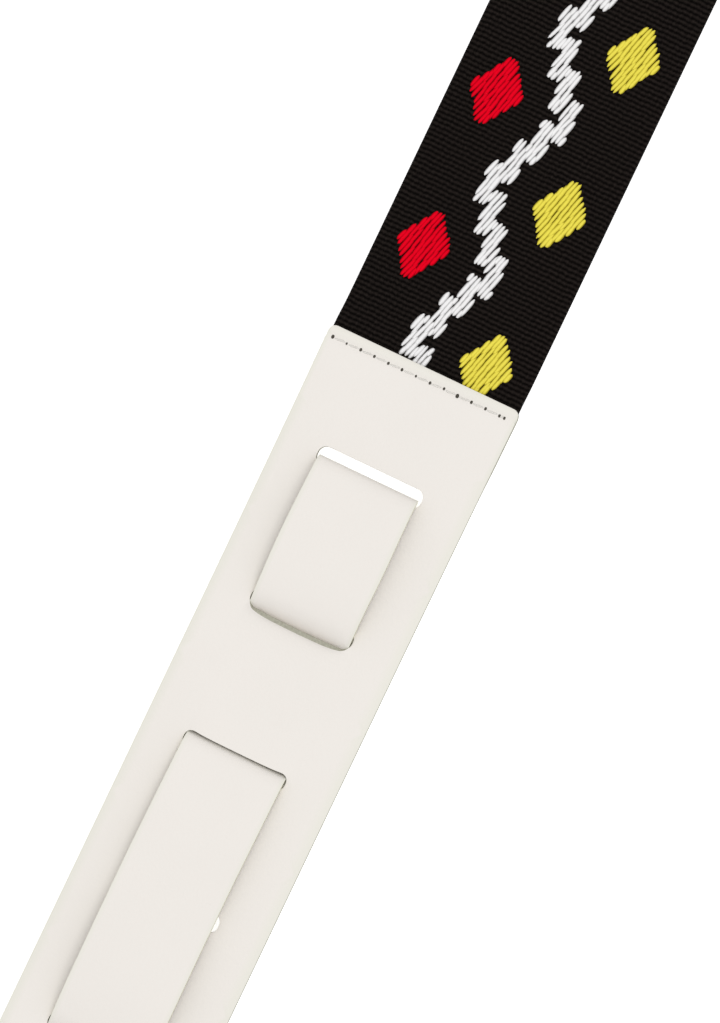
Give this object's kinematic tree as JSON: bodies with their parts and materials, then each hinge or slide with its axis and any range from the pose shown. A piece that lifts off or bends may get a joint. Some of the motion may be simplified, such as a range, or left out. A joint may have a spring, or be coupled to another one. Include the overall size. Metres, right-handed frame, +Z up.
{
  "type": "guitar strap",
  "caption": "Adjustable guitar strap: patterned webbing between a leather tab and a slotted leather ladder that a narrow leather tail weaves through, with button holes at both ends.",
  "frame": {"origin": "under the middle of the strap laid straight and face up, on the surface it lies on", "axes": "+X along the strap towards the tab, +Y across it, +Z up out of the patterned face"},
  "size_m": [1.1506, 0.0516, 0.0093],
  "materials": {
    "leather": "smooth off-white full-grain leather",
    "suede": "matte off-white split leather",
    "webbing": "ribbed black jacquard with woven motifs",
    "thread": "twisted off-white sewing thread"
  },
  "bodies": {
    "ladder": {"ladder_face": "leather", "ladder_lining": "suede", "ladder_webbing_end": "webbing", "ladder_needle_thread": "thread", "ladder_bobbin_thread": "thread"},
    "webbing_1": {"webbing_1": "webbing"},
    "webbing_2": {"webbing_2": "webbing"},
    "webbing_3": {"webbing_3": "webbing"},
    "webbing_4": {"webbing_4": "webbing"},
    "webbing_5": {"webbing_5": "webbing"},
    "webbing_6": {"webbing_6": "webbing"},
    "tab": {"tab_webbing_end": "webbing", "tab_face": "leather", "tab_lining": "suede", "tab_needle_thread": "thread", "tab_bobbin_thread": "thread"},
    "tail": {"tail_weave": "leather", "tail_run": "leather"},
    "paddle": {"paddle": "leather"}
  },
  "joints": [
    {"name": "webbing_1_bend", "type": "hinge", "parent": "ladder", "child": "webbing_1", "pos_m": [-0.07765, 0, 0.0008], "axis": [0, -1, 0], "range_deg": [-40, 40]},
    {"name": "webbing_2_bend", "type": "hinge", "parent": "webbing_1", "child": "webbing_2", "pos_m": [0.01168, 0, 0.0008], "axis": [0, -1, 0], "range_deg": [-40, 40]},
    {"name": "webbing_3_bend", "type": "hinge", "parent": "webbing_2", "child": "webbing_3", "pos_m": [0.10102, 0, 0.0008], "axis": [0, -1, 0], "range_deg": [-40, 40]},
    {"name": "webbing_4_bend", "type": "hinge", "parent": "webbing_3", "child": "webbing_4", "pos_m": [0.19035, 0, 0.0008], "axis": [0, -1, 0], "range_deg": [-40, 40]},
    {"name": "webbing_5_bend", "type": "hinge", "parent": "webbing_4", "child": "webbing_5", "pos_m": [0.27968, 0, 0.0008], "axis": [0, -1, 0], "range_deg": [-40, 40]},
    {"name": "webbing_6_bend", "type": "hinge", "parent": "webbing_5", "child": "webbing_6", "pos_m": [0.36902, 0, 0.0008], "axis": [0, -1, 0], "range_deg": [-40, 40]},
    {"name": "tab_bend", "type": "hinge", "parent": "webbing_6", "child": "tab", "pos_m": [0.45835, 0, 0.0008], "axis": [0, -1, 0], "range_deg": [-40, 40]},
    {"name": "tail_length", "type": "slide", "parent": "ladder", "child": "tail", "axis": [-1, 0, 0], "range_m": [0, 0.154], "deforming": ["tail_weave"]},
    {"name": "paddle_bend", "type": "hinge", "parent": "tail", "child": "paddle", "pos_m": [-0.47195, 0, 0.001], "axis": [0, 1, 0], "range_deg": [-40, 40]}
  ]
}
